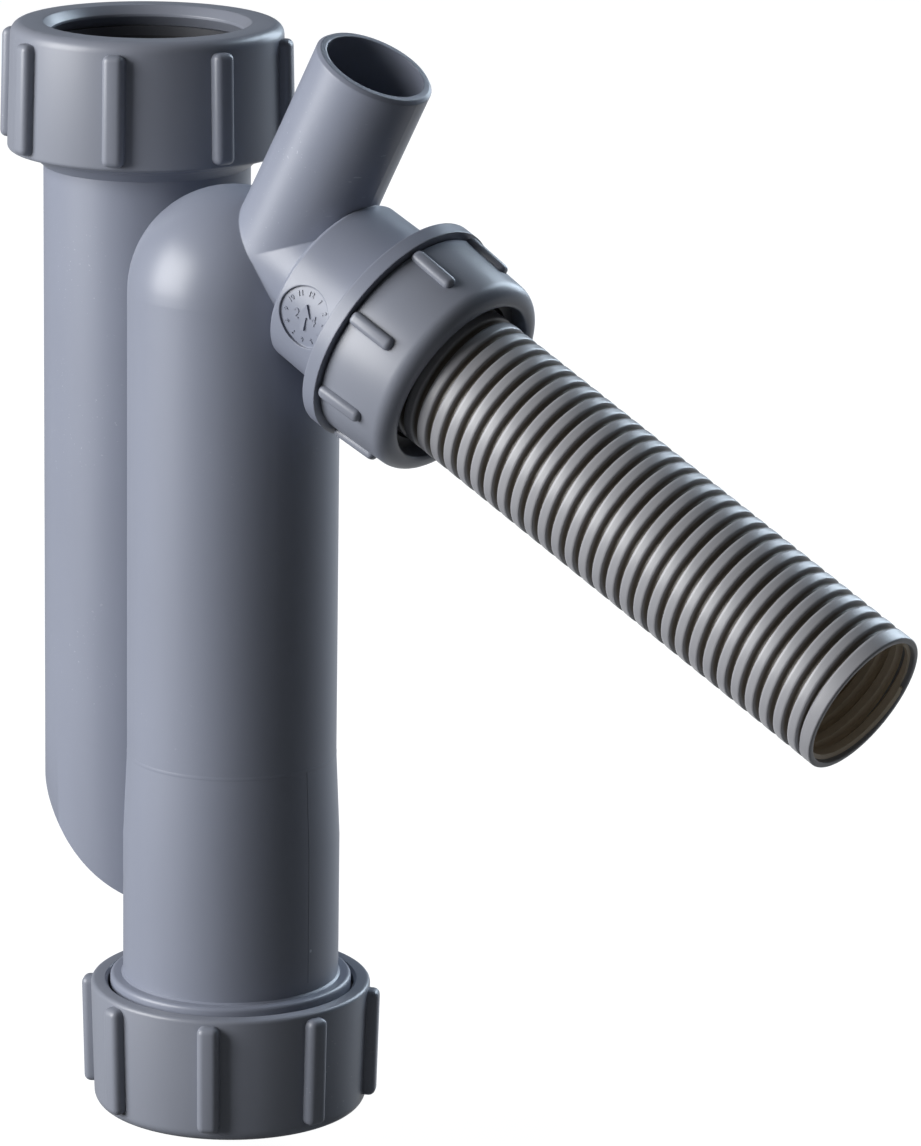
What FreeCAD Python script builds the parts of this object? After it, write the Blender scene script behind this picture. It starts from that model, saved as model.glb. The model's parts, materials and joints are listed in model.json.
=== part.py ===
import FreeCAD, Part
import math
import os

V = FreeCAD.Vector
UP = V(0, 0, 1)
ACROSS = V(0, 1, 0)

# What the trap connects to: outer radii of the pipe and the hose, and their play
PIPE_R = 20.0
PIPE_CLEAR = 0.3
HOSE_R = 15.5
HOSE_CLEAR = 0.4

# The two limbs, the foot bend between them and the dome on the front limb
WALL = 1.7
BORE_R = PIPE_R + PIPE_CLEAR
LIMB_R = BORE_R + WALL
LIMB_GAP = 2.0
SPACING = 2 * LIMB_R + LIMB_GAP
TRAP_H = 224.6
DOME_Z = 175.6
BEND_Z = 71.0
BEND_R = 14.6
FLARE_Z = 77.0
FLARE_L = 18.0
FLARE = 0.8

# Threaded mouths of the limbs. The thread itself is fine detail; its depth is kept free here
THREAD_STEP = 2.0
THREAD_DEPTH = 1.5
THREAD_CLEAR = 0.6
CORE_R = LIMB_R + THREAD_STEP
COLLAR_R = CORE_R + THREAD_DEPTH
COLLAR_L = 3.4
COLLAR_PROUD = 1.4
COLLAR_ROUND = 1.2
MOUTH_CHAMFER = 2.4

# Large compression nut, used at the inlet and, turned over, at the cleanout
NUT_H = 27.0
NUT_WALL = 3.5
NUT_BORE_R = COLLAR_R + THREAD_CLEAR
NUT_R = NUT_BORE_R + NUT_WALL
NUT_DRAFT = 0.7
NUT_EDGE = 2.4
NUT_PLATE = 4.4
HOLE_CLEAR = 0.4
HOLE_R = PIPE_R + HOLE_CLEAR
HOLE_CHAMFER = 2.7
RIB_COUNT = 8
RIB_R = 2.4
RIB_MARGIN = 1.0
INLET_RIB_TURN = 8.6
CLEANOUT_RIB_TURN = 12.5

# Rings packed between a large nut's plate and a limb's mouth
RING_CLEAR = 0.3
SLIP_T = 2.0
SEAL_T = 3.1
SEAL_LIP = 0.2
PACK_T = SLIP_T + SEAL_T
MOUTH_IN = NUT_H - NUT_PLATE - PACK_T
RING_R = CORE_R
RING_PLAY = 0.1
RING_BORE_R = HOLE_R + RING_PLAY
CONE_CLEAR = 0.3

# Blanking plug of the cleanout
PLUG_T = 2.9
PLUG_WALL = 2.0
PLUG_SKIRT = 6.0
PLUG_CLEAR = 0.5
PLUG_BAR_T = 5.0
PLUG_FLOOR = 2.0
GASKET_STEP = 0.6

# Appliance nozzle, which turns into the branch by an elbow
NOZZLE_AT = 17.0
NOZZLE_LEAN = 28.0
NOZZLE_L = 44.8
NOZZLE_R = 12.5
NOZZLE_DRAFT = 0.3
NOZZLE_STRAIGHT = 20.0
NOZZLE_WALL = 2.0
NOZZLE_EDGE = 0.7
ELBOW_R = NOZZLE_R + NOZZLE_DRAFT
ELBOW_BORE_R = NOZZLE_R - NOZZLE_WALL

# Branch: a stub that falls away from the dome, turned from the plane of the limbs
BRANCH_Z = 194.4
BRANCH_TURN = 27.0
BRANCH_FALL = 26.5
SOCKET_AT = 26.6
SOCKET_WALL = 2.7
SOCKET_SLOPE = 2.6
SOCKET_EDGE = 0.8
SOCKET_DRAFT = 0.4
SOCKET_BORE_R = HOSE_R + HOSE_CLEAR
SOCKET_R = SOCKET_BORE_R + SOCKET_WALL
STOP_AT = 33.0
FLANGE_AT = 45.6
FLANGE_T = 3.2
DIAL_R = 6.4
DIAL_DEPTH = 0.4
DIAL_AT = 37.2
DIAL_TURN = 271.0

# Hose nut and the rings it presses on the hose
HOSE_CORE_STEP = 0.4
HOSE_THREAD_DEPTH = 1.2
HOSE_THREAD_CLEAR = 0.4
HOSE_CORE_R = SOCKET_R + HOSE_CORE_STEP
HOSE_NUT_GAP = 0.6
HOSE_NUT_L = 17.1
HOSE_NUT_WALL = 2.6
HOSE_NUT_DRAFT = 0.7
HOSE_NUT_BORE_R = HOSE_CORE_R + HOSE_THREAD_DEPTH + HOSE_THREAD_CLEAR
HOSE_NUT_R = HOSE_NUT_BORE_R + HOSE_NUT_WALL
HOSE_NUT_AT = FLANGE_AT + FLANGE_T + HOSE_NUT_GAP
HOSE_NUT_PLATE = 4.2
HOSE_HOLE_CLEAR = 2.1
HOSE_HOLE_R = HOSE_R + HOSE_HOLE_CLEAR
HOSE_RIB_R = 1.5
HOSE_RIB_L = 10.6
HOSE_RIB_TURN = 22.5
FLANGE_PROUD = 1.5
FLANGE_R = HOSE_NUT_R + FLANGE_PROUD
HOSE_PLATE_AT = HOSE_NUT_AT + HOSE_NUT_L - HOSE_NUT_PLATE
SOCKET_MOUTH_AT = HOSE_PLATE_AT - PACK_T
SOCKET_CHAMFER = 2.2

# Corrugated hose: a plain cuff in the socket, then ridges to the cut end
HOSE_WALL = 1.2
RIDGE_PITCH = 3.8
RIDGE_DEPTH = 1.4
RIDGE_COUNT = 29
GROOVE_R = HOSE_R - RIDGE_DEPTH
HOSE_BORE_R = GROOVE_R - HOSE_WALL
CUFF_L = 32.8
CUFF_LINING = 0.4
HOSE_L = CUFF_L + RIDGE_COUNT * RIDGE_PITCH


def lathe(points):
    """Solid turned about Z from (radius, height) points; a pair of them is an arc's middle and end."""
    edges = []
    last = points[0]
    for item in list(points[1:]) + [points[0]]:
        if isinstance(item[0], tuple):
            middle, end = item
            edges.append(Part.Arc(flat(last), flat(middle), flat(end)).toShape())
        else:
            end = item
            edges.append(Part.LineSegment(flat(last), flat(end)).toShape())
        last = end
    return Part.Face(Part.Wire(edges)).revolve(V(0, 0, 0), UP, 360)


def flat(point):
    """Point of a lathe profile in the XZ plane."""
    return V(point[0], 0, point[1])


def rod(radius, base, length, axis=UP):
    return Part.makeCylinder(radius, length, base, axis)


def ring(inner, outer, low, high):
    """Plain ring about Z."""
    return lathe([(inner, low), (outer, low), (outer, high), (inner, high)])


def on_branch(shape):
    """Place a shape made along +Z so that it lies along the branch, from the front limb's axis."""
    placed = shape.copy()
    placed.rotate(V(0, 0, 0), ACROSS, 90 + BRANCH_FALL)
    placed.rotate(V(0, 0, 0), UP, BRANCH_TURN - 90)
    placed.translate(V(0, 0, BRANCH_Z))
    return placed


def on_nozzle(shape):
    """Place a shape made along +Z so that it lies along the nozzle, from where it crosses the branch."""
    fall = math.radians(BRANCH_FALL)
    turn = math.radians(BRANCH_TURN - 90)
    out = NOZZLE_AT * math.cos(fall)
    placed = shape.copy()
    placed.rotate(V(0, 0, 0), ACROSS, NOZZLE_LEAN)
    placed.rotate(V(0, 0, 0), UP, BRANCH_TURN - 90)
    placed.translate(V(out * math.cos(turn), out * math.sin(turn), BRANCH_Z - NOZZLE_AT * math.sin(fall)))
    return placed


def turned_over(shape, height):
    """Turn a shape over end for end about a horizontal axis, within its own height."""
    placed = shape.copy()
    placed.rotate(V(0, 0, 0), V(1, 0, 0), 180)
    placed.translate(V(0, 0, height))
    return placed


def threaded_mouth(root):
    """Collar and threaded neck of a limb of radius root, with z = 0 where the nut's open end lies."""
    shoulder = COLLAR_R - COLLAR_ROUND
    bevel = COLLAR_ROUND * math.sqrt(0.5)
    corner = (shoulder + bevel, COLLAR_ROUND - bevel - COLLAR_PROUD)
    return lathe([
        (0, -COLLAR_PROUD - THREAD_STEP),
        (root, -COLLAR_PROUD - THREAD_STEP),
        (shoulder, -COLLAR_PROUD),
        (corner, (COLLAR_R, COLLAR_ROUND - COLLAR_PROUD)),
        (COLLAR_R, COLLAR_L - COLLAR_PROUD),
        (CORE_R, COLLAR_L - COLLAR_PROUD),
        (CORE_R, MOUTH_IN),
        (0, MOUTH_IN),
    ])


def mouth_bore():
    """Seal chamfer in a limb's mouth, in the same frame as the threaded mouth."""
    return lathe([
        (0, MOUTH_IN - MOUTH_CHAMFER),
        (BORE_R, MOUTH_IN - MOUTH_CHAMFER),
        (BORE_R + MOUTH_CHAMFER, MOUTH_IN),
        (0, MOUTH_IN),
    ])


def bend(radius, roof):
    """Quarter bend from the rear limb down into the link, tighter than the tube, and the link's channel."""
    inside = SPACING - BEND_R
    disc = Part.Face(Part.Wire(Part.makeCircle(radius, V(0, SPACING, BEND_Z), UP)))
    kept = Part.makePlane(2 * radius, radius + BEND_R, V(-radius, inside, BEND_Z), UP)
    elbow = disc.common(kept).revolve(V(0, inside, BEND_Z), V(1, 0, 0), -90)
    link = rod(radius, V(0, 0, BEND_Z - BEND_R), inside, ACROSS)
    above = Part.makeBox(2 * radius, inside, 2 * radius, V(-radius, 0, roof))
    return elbow.fuse(link.cut(above))


def domed(radius):
    """Front limb above the foot, closed by a dome."""
    side = radius * math.sqrt(0.5)
    return lathe([
        (0, FLARE_Z),
        (radius, FLARE_Z),
        (radius, DOME_Z),
        ((side, DOME_Z + side), (0, DOME_Z + radius)),
    ])


def flared(radius, flare):
    """Lower end of the front limb: a little wider than the limb above it."""
    wide = radius + flare
    return lathe([
        (0, NUT_H - MOUTH_IN),
        (wide, NUT_H - MOUTH_IN),
        (wide, FLARE_Z - FLARE_L),
        (radius, FLARE_Z),
        (0, FLARE_Z),
    ])


def stub():
    """Outside of the branch: tube from the elbow, sloping shoulder, socket, stop flange, threaded end."""
    return lathe([
        (0, NOZZLE_AT),
        (ELBOW_R, NOZZLE_AT),
        (ELBOW_R, SOCKET_AT),
        (SOCKET_R - SOCKET_EDGE, SOCKET_AT + SOCKET_SLOPE),
        (SOCKET_R, SOCKET_AT + SOCKET_SLOPE + SOCKET_EDGE),
        (SOCKET_R + SOCKET_DRAFT, FLANGE_AT),
        (FLANGE_R, FLANGE_AT),
        (FLANGE_R, FLANGE_AT + FLANGE_T),
        (HOSE_CORE_R, FLANGE_AT + FLANGE_T),
        (HOSE_CORE_R, SOCKET_MOUTH_AT),
        (0, SOCKET_MOUTH_AT),
    ])


def stub_bore():
    """Passage through the stub and the hose socket with its chamfered mouth."""
    return lathe([
        (0, NOZZLE_AT),
        (ELBOW_BORE_R, NOZZLE_AT),
        (ELBOW_BORE_R, STOP_AT),
        (SOCKET_BORE_R, STOP_AT),
        (SOCKET_BORE_R, SOCKET_MOUTH_AT - SOCKET_CHAMFER),
        (SOCKET_BORE_R + SOCKET_CHAMFER, SOCKET_MOUTH_AT),
        (0, SOCKET_MOUTH_AT),
    ])


def nozzle():
    """Outside of the nozzle from the elbow's ball, drafted at its root and straight at the mouth."""
    side = ELBOW_R * math.sqrt(0.5)
    return lathe([
        (0, -ELBOW_R),
        ((side, -side), (ELBOW_R, 0)),
        (NOZZLE_R, NOZZLE_L - NOZZLE_STRAIGHT),
        (NOZZLE_R, NOZZLE_L - NOZZLE_EDGE),
        (NOZZLE_R - NOZZLE_EDGE, NOZZLE_L),
        (0, NOZZLE_L),
    ])


def nozzle_bore():
    """Passage through the nozzle and the elbow's ball."""
    side = ELBOW_BORE_R * math.sqrt(0.5)
    return lathe([
        (0, -ELBOW_BORE_R),
        ((side, -side), (ELBOW_BORE_R, 0)),
        (ELBOW_BORE_R, NOZZLE_L),
        (0, NOZZLE_L),
    ])


def dial_recess():
    """Shallow round recess on the hose socket that holds a moulding date dial."""
    plunge = rod(DIAL_R, V(0, 0, DIAL_AT), SOCKET_R + DIAL_R, V(1, 0, 0))
    core = rod(SOCKET_R - DIAL_DEPTH, V(0, 0, 0), SOCKET_MOUTH_AT)
    recess = plunge.cut(core)
    recess.rotate(V(0, 0, 0), UP, DIAL_TURN)
    return recess


def rear_limb():
    """Straight limb from the foot bend up to the threaded inlet mouth."""
    inlet_z = TRAP_H - NUT_H
    rear = V(0, SPACING, 0)
    mouth = threaded_mouth(LIMB_R)
    mouth.translate(rear + V(0, 0, inlet_z))
    chamfer = mouth_bore()
    chamfer.translate(rear + V(0, 0, inlet_z))
    base = rear + V(0, 0, BEND_Z)
    outside = rod(LIMB_R, base, inlet_z - BEND_Z).fuse(mouth)
    return outside.cut(rod(BORE_R, base, inlet_z - BEND_Z + MOUTH_IN).fuse(chamfer)).removeSplitter()


def front_limb():
    """Domed limb with the forked branch: the stub with its hose socket, and the appliance nozzle."""
    outside = domed(LIMB_R).multiFuse([on_branch(stub()), on_nozzle(nozzle())])
    hollow = domed(BORE_R).multiFuse([on_branch(stub_bore()), on_nozzle(nozzle_bore())])
    return outside.cut(hollow).cut(on_branch(dial_recess())).removeSplitter()


def trap_foot():
    """Lower moulding: bend under the rear limb, link, flared end of the front limb and cleanout mouth."""
    outside = bend(LIMB_R, BEND_Z).multiFuse([
        flared(LIMB_R, FLARE),
        turned_over(threaded_mouth(LIMB_R + FLARE), NUT_H),
    ])
    hollow = bend(BORE_R, BEND_Z - WALL).multiFuse([
        flared(BORE_R, 0.0),
        turned_over(mouth_bore(), NUT_H),
    ])
    return outside.cut(hollow).removeSplitter()


def ribs(radius, rib_r, low, high, turn, lean):
    """Half-round grip ribs with tapered tips, spaced evenly round a nut and leaning in with its draft."""
    tip = rib_r / 2
    bar = lathe([
        (0, low),
        (tip, low),
        (rib_r, low + tip),
        (rib_r, high - tip),
        (tip, high),
        (0, high),
    ])
    bar.rotate(V(0, 0, 0), ACROSS, -lean)
    bars = []
    for index in range(RIB_COUNT):
        copy = bar.copy()
        copy.translate(V(radius, 0, 0))
        copy.rotate(V(0, 0, 0), UP, turn + index * 360 / RIB_COUNT)
        bars.append(copy)
    return bars


def large_nut(turn):
    """Compression nut with its open end at z = 0: drafted skirt, rounded edge, chamfered hole, ribs."""
    top_r = NUT_R - NUT_DRAFT
    bevel = NUT_EDGE * math.sqrt(0.5)
    corner = (top_r - NUT_EDGE + bevel, NUT_H - NUT_EDGE + bevel)
    plate = NUT_H - NUT_PLATE
    skirt = lathe([
        (NUT_BORE_R, 0),
        (NUT_R, 0),
        (top_r, NUT_H - NUT_EDGE),
        (corner, (top_r - NUT_EDGE, NUT_H)),
        (HOLE_R + HOLE_CHAMFER, NUT_H),
        (HOLE_R, NUT_H - HOLE_CHAMFER),
        (HOLE_R, plate),
        (NUT_BORE_R, plate),
    ])
    lean = math.degrees(math.atan(NUT_DRAFT / (NUT_H - NUT_EDGE)))
    nut = skirt.multiFuse(ribs(NUT_R, RIB_R, RIB_MARGIN, NUT_H - NUT_EDGE, turn, lean))
    return nut.cut(rod(NUT_BORE_R, V(0, 0, 0), plate))


def inlet_ring(shape):
    """Place a ring made in the nut's frame under the inlet nut."""
    shape.translate(V(0, SPACING, TRAP_H - NUT_H))
    return shape


def inlet_slip_ring():
    top = NUT_H - NUT_PLATE
    return inlet_ring(ring(RING_BORE_R, RING_R, top - SLIP_T, top))


def cone_seal(bore, outer, chamfer_r):
    """Rubber ring with a cone that enters a chamfered mouth at z = 0."""
    tip_r = bore + SEAL_LIP
    cone_r = chamfer_r - CONE_CLEAR
    return lathe([
        (bore, tip_r - cone_r),
        (tip_r, tip_r - cone_r),
        (cone_r, 0),
        (outer, 0),
        (outer, SEAL_T),
        (bore, SEAL_T),
    ])


def inlet_cone_seal():
    seal = cone_seal(RING_BORE_R, RING_R, BORE_R + MOUTH_CHAMFER)
    seal.translate(V(0, 0, MOUTH_IN))
    return inlet_ring(seal)


def cleanout_plug():
    """Blanking cup: flange on the nut's plate, skirt up the bore and a hollow boss with a grip bar."""
    boss = HOLE_R - HOLE_CLEAR
    skirt = BORE_R - PLUG_CLEAR
    seat = NUT_PLATE + PLUG_T
    cup = lathe([
        (0, 0),
        (boss, 0),
        (boss, NUT_PLATE),
        (RING_R, NUT_PLATE),
        (RING_R, seat),
        (skirt, seat),
        (skirt, seat + PLUG_SKIRT),
        (skirt - PLUG_WALL, seat + PLUG_SKIRT),
        (skirt - PLUG_WALL, NUT_PLATE),
        (0, NUT_PLATE),
    ])
    depth = NUT_PLATE - PLUG_FLOOR
    bar = Part.makeBox(2 * boss, PLUG_BAR_T, depth, V(-boss, -PLUG_BAR_T / 2, 0))
    return cup.cut(rod(boss - PLUG_WALL, V(0, 0, 0), depth).cut(bar))


def cleanout_gasket():
    seat = NUT_PLATE + PLUG_T
    return ring(BORE_R + GASKET_STEP, RING_R, seat, NUT_PLATE + PACK_T)


def hose_nut():
    """Hose nut with its open end at z = 0, a drafted skirt and a quarter-round front edge."""
    front_r = HOSE_NUT_R - HOSE_NUT_DRAFT
    front = front_r - HOSE_HOLE_R
    shoulder = HOSE_NUT_L - front
    lean = math.degrees(math.atan(HOSE_NUT_DRAFT / shoulder))
    bevel = front * math.sqrt(0.5)
    plate = HOSE_NUT_L - HOSE_NUT_PLATE
    skirt = lathe([
        (HOSE_NUT_BORE_R, 0),
        (HOSE_NUT_R, 0),
        (front_r, shoulder),
        ((HOSE_HOLE_R + bevel, shoulder + bevel), (HOSE_HOLE_R, HOSE_NUT_L)),
        (HOSE_HOLE_R, plate),
        (HOSE_NUT_BORE_R, plate),
    ])
    nut = skirt.multiFuse(ribs(HOSE_NUT_R, HOSE_RIB_R, 0, HOSE_RIB_L, HOSE_RIB_TURN, lean))
    nut = nut.cut(rod(HOSE_NUT_BORE_R, V(0, 0, 0), plate))
    nut.translate(V(0, 0, HOSE_NUT_AT))
    return on_branch(nut)


def hose_slip_ring():
    low = HOSE_PLATE_AT - SLIP_T
    return on_branch(ring(SOCKET_BORE_R + RING_CLEAR, HOSE_CORE_R, low, HOSE_PLATE_AT))


def hose_seal():
    seal = cone_seal(HOSE_R + RING_CLEAR, HOSE_CORE_R, SOCKET_BORE_R + SOCKET_CHAMFER)
    seal.translate(V(0, 0, SOCKET_MOUTH_AT))
    return on_branch(seal)


def drain_hose():
    """Corrugated hose with V ridges and a lined plain cuff, cut square at its free end."""
    cuff_r = HOSE_BORE_R - CUFF_LINING
    profile = [(cuff_r, 0), (HOSE_R, 0), (HOSE_R, CUFF_L - RIDGE_PITCH / 2), (GROOVE_R, CUFF_L)]
    for index in range(RIDGE_COUNT):
        start = CUFF_L + index * RIDGE_PITCH
        profile.append((HOSE_R, start + RIDGE_PITCH / 2))
        profile.append((GROOVE_R, start + RIDGE_PITCH))
    profile += [(HOSE_BORE_R, HOSE_L), (HOSE_BORE_R, CUFF_L), (cuff_r, CUFF_L)]
    hose = lathe(profile)
    hose.translate(V(0, 0, STOP_AT))
    return on_branch(hose)


def main():
    inlet_nut = large_nut(INLET_RIB_TURN)
    inlet_nut.translate(V(0, SPACING, TRAP_H - NUT_H))
    nodes = {
        "rear_limb": rear_limb(),
        "front_limb": front_limb(),
        "trap_foot": trap_foot(),
        "inlet_nut": inlet_nut,
        "inlet_slip_ring": inlet_slip_ring(),
        "inlet_cone_seal": inlet_cone_seal(),
        "cleanout_nut": turned_over(large_nut(-CLEANOUT_RIB_TURN), NUT_H),
        "cleanout_plug": cleanout_plug(),
        "cleanout_gasket": cleanout_gasket(),
        "hose_nut": hose_nut(),
        "hose_slip_ring": hose_slip_ring(),
        "hose_seal": hose_seal(),
        "drain_hose": drain_hose(),
    }
    os.makedirs("parts", exist_ok=True)
    for name, shape in nodes.items():
        shape.exportStep("parts/" + name + ".step")
        print(name, len(shape.Solids), shape.isValid(), round(shape.Volume, 1))


main()
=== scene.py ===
"""Dresses the waste trap: finishes, foot, ribbed nuts, threads, spiral hose, date dial and a white studio."""
import json
import math

import bpy
from bpy.props import FloatProperty, FloatVectorProperty, IntProperty, PointerProperty
from mathutils import Matrix, Vector


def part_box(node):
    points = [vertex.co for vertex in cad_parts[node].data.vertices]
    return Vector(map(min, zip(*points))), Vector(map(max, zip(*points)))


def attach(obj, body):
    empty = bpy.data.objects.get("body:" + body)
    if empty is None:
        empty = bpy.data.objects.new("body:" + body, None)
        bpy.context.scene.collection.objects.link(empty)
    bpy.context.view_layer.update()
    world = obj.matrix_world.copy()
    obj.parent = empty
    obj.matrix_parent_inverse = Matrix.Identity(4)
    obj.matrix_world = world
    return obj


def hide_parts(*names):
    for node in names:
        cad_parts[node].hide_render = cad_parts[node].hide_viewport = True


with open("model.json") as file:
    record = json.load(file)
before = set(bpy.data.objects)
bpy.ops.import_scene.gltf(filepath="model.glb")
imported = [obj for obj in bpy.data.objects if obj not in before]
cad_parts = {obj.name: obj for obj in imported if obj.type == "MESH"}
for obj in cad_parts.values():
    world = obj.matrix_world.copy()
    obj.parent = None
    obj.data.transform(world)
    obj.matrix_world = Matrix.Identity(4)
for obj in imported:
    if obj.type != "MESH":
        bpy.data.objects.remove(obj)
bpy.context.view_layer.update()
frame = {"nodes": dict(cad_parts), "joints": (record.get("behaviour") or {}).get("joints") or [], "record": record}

bl_info = {
    "name": "Waste trap",
    "version": (1, 0, 0),
    "blender": (4, 5, 0),
    "location": "3D View > Sidebar > Waste Trap",
    "description": "Models the visible pieces and finishes of a plastic waste trap round its solids",
    "category": "Object",
}

MM = 0.001

# Places read from the frame: the nuts' ends, the rear limb's axis, the mouldings' seams and the branch's axis
MOUNTS = {mount["name"]: mount for mount in frame["record"]["mounts"]}
JOINTS = {joint["name"]: joint for joint in frame["joints"]}
INLET_LOW, INLET_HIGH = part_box("inlet_nut")
CLEANOUT_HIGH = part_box("cleanout_nut")[1]
INLET_AXIS = Vector(MOUNTS["inlet"]["pos_m"])
SEAM_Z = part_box("front_limb")[0].z
BEND_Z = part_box("rear_limb")[0].z
BRANCH_DIR = Vector(MOUNTS["hose_outlet"]["axis"]).normalized()
BRANCH_POINT = Vector(JOINTS["hose_nut_turn"]["pos_m"])

# The branch's own frame: +Z along the branch from the front limb's axis, +X downwards
BRANCH_START = BRANCH_POINT - BRANCH_DIR * (BRANCH_POINT.xy.length / BRANCH_DIR.xy.length)
BRANCH_SIDE = Vector((0, 0, 1)).cross(BRANCH_DIR).normalized()
BRANCH_DOWN = BRANCH_SIDE.cross(BRANCH_DIR).normalized()
HOSE_NUT_AT = 49.4 * MM
HOSE_START, HOSE_END = 33.0 * MM, 176.0 * MM
DIAL_AT, DIAL_FLOOR_R = 37.2 * MM, 18.2 * MM
DIAL_TURN = math.radians(271)

# The limbs' radii, the flare of the front limb below its seam, the rear limb's bend and the neck between them
LIMB_R, BORE_R = 22.0 * MM, 20.3 * MM
FLARE_R, FLARE_DROP = 22.8 * MM, 18.0 * MM
BEND_R, NECK_Z = 14.6 * MM, 52.2 * MM

# The stage: how far its floor lies below the trap, which way is behind the trap, and what the lights face
FLOOR_GAP = 12.5 * MM
BEHIND = (0.914, 0.407, 0.0)
LIGHTS_FACE = Vector((0.02, 0, 0.12))

HOSE_FINISH = {"gloss": 0.32, "grain": 1.4, "scuffs": 0.6, "specks": 0.4}


def branch_place(along=0.0):
    """Matrix that lays a piece made along +Z on the branch, at a distance from the front limb's axis."""
    turn = Matrix((BRANCH_DOWN, BRANCH_SIDE, BRANCH_DIR)).transposed().to_4x4()
    return Matrix.Translation(BRANCH_START + BRANCH_DIR * along) @ turn


INLET_PLACE = Matrix.Translation((INLET_AXIS.x, INLET_AXIS.y, INLET_LOW.z))
CLEANOUT_PLACE = Matrix.Translation((0, 0, CLEANOUT_HIGH.z)) @ Matrix.Rotation(math.pi, 4, "X")
HOSE_NUT_PLACE = branch_place(HOSE_NUT_AT)


def length(name, description, millimetres):
    return FloatProperty(name=name, description=description, default=millimetres * MM, unit="LENGTH",
                         precision=5)


def colour(name, description, value):
    return FloatVectorProperty(name=name, description=description, default=value, size=3, min=0, max=1,
                               subtype="COLOR")


class TrapSizes(bpy.types.PropertyGroup):
    """Sizes of the pieces that are modelled here."""

    nut_height: length("Nut height", "Height of a large nut", (INLET_HIGH.z - INLET_LOW.z) / MM)
    nut_radius: length("Nut radius", "Radius of a large nut's skirt at its open end", 29.6)
    nut_draft: length("Nut draft", "How much narrower the skirt is at the plate", 0.7)
    nut_edge: length("Nut edge", "Rounding of the skirt's edge at the plate", 2.5)
    nut_bore: length("Nut bore", "Radius inside a large nut's skirt", 26.1)
    nut_plate: length("Nut plate", "Thickness of a large nut's plate", 4.4)
    nut_hole: length("Nut hole", "Radius of the hole in a large nut's plate", 20.4)
    nut_lip: length("Nut lip", "Chamfer of the hole's edge", 1.6)
    rib_count: IntProperty(name="Ribs", description="Grip ribs round a nut", default=8, min=3)
    rib_width: length("Rib width", "Width of a large nut's grip rib", 4.6)
    rib_height: length("Rib height", "How far a large nut's rib stands proud", 2.3)
    hose_nut_radius: length("Hose nut radius", "Radius of the hose nut's skirt at its open end", 23.2)
    hose_nut_draft: length("Hose nut draft", "How much narrower the hose nut is at its front", 0.7)
    hose_nut_length: length("Hose nut length", "Length of the hose nut along the branch", 17.1)
    hose_nut_plate: length("Hose nut plate", "Thickness of the hose nut's front", 4.2)
    hose_nut_hole: length("Hose nut hole", "Radius of the hose nut's front opening", 18.2)
    hose_nut_bore: length("Hose nut bore", "Radius inside the hose nut's skirt", 20.6)
    hose_rib_width: length("Hose nut rib width", "Width of the hose nut's grip rib", 3.0)
    hose_rib_height: length("Hose nut rib height", "How far the hose nut's rib stands proud", 1.35)
    hose_rib_length: length("Hose nut rib length", "Length of the hose nut's grip rib", 10.8)
    thread_pitch: length("Thread pitch", "Rise of each screw thread in one turn", 4.0)
    hose_radius: length("Hose radius", "Radius over the hose's ridges", 15.5)
    hose_pitch: length("Hose pitch", "Rise of the hose's spiral ridge in one turn", 3.75)
    hose_groove: length("Hose groove", "Depth of the groove between the hose's ridges", 1.2)
    hose_wall: length("Hose wall", "Wall of the hose", 0.8)


class TrapColours(bpy.types.PropertyGroup):
    """Colours of the finishes."""

    body: colour("Mouldings", "Grey polypropylene of the limbs and the branch", (0.212, 0.231, 0.29))
    nut: colour("Nuts", "Grey polypropylene of the nuts", (0.203, 0.218, 0.262))
    # Slip rings: their dark colour is partly their own and partly painted shade, for the shade inside the nuts'
    # holes.
    ring: colour("Slip rings", "Dark polyethylene of the slip rings", (0.045, 0.047, 0.054))
    hose: colour("Hose", "Outside of the corrugated hose", (0.288, 0.291, 0.312))
    # Hose grooves: painted shade at the bottom of the grooves, in a browner tone than the ridges.
    hose_groove: colour("Hose grooves", "Bottom of the hose's grooves", (0.13, 0.112, 0.09))
    # Hose inside: its own tan, made paler with painted light that stands in for light through the thin wall.
    hose_inside: colour("Hose inside", "Inside of the hose", (0.72, 0.6, 0.45))
    rubber: colour("Seals", "Black rubber of the seals", (0.02, 0.02, 0.021))
    backdrop: colour("Backdrop", "Floor and backdrop", (0.16, 0.16, 0.16))


# Modelling helpers

def start_new():
    """Leave edit mode and deselect everything, so that an operator acts on the new piece alone."""
    if bpy.context.object and bpy.context.object.mode != "OBJECT":
        bpy.ops.object.mode_set(mode="OBJECT")
    bpy.ops.object.select_all(action="DESELECT")


def active_only(piece):
    start_new()
    piece.select_set(True)
    bpy.context.view_layer.objects.active = piece


def named(name):
    """The object that an operator has just added, with its name and its data's name."""
    piece = bpy.context.object
    piece.name = name
    piece.data.name = name
    return piece


def edit_all():
    bpy.ops.object.mode_set(mode="EDIT")
    bpy.ops.mesh.select_all(action="SELECT")


def profile_line(name, points, closed=True):
    """Chain of vertices in the XZ plane, drawn by extruding one vertex from point to point."""
    start_new()
    bpy.ops.mesh.primitive_plane_add(size=MM, location=(0, 0, 0))
    line = named(name)
    edit_all()
    bpy.ops.mesh.merge(type="CENTER")
    last = Vector((points[0][0], 0, points[0][1]))
    bpy.ops.transform.translate(value=last)
    for radius, height in points[1:]:
        point = Vector((radius, 0, height))
        bpy.ops.mesh.extrude_region_move(TRANSFORM_OT_translate={"value": point - last})
        last = point
    if closed:
        bpy.ops.mesh.select_all(action="SELECT")
        bpy.ops.mesh.edge_face_add()
    bpy.ops.object.mode_set(mode="OBJECT")
    return line


def close_up(piece):
    """Merge doubles and turn all faces outwards."""
    active_only(piece)
    edit_all()
    bpy.ops.mesh.remove_doubles(threshold=0.01 * MM)
    bpy.ops.mesh.normals_make_consistent(inside=False)
    bpy.ops.object.mode_set(mode="OBJECT")


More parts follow.
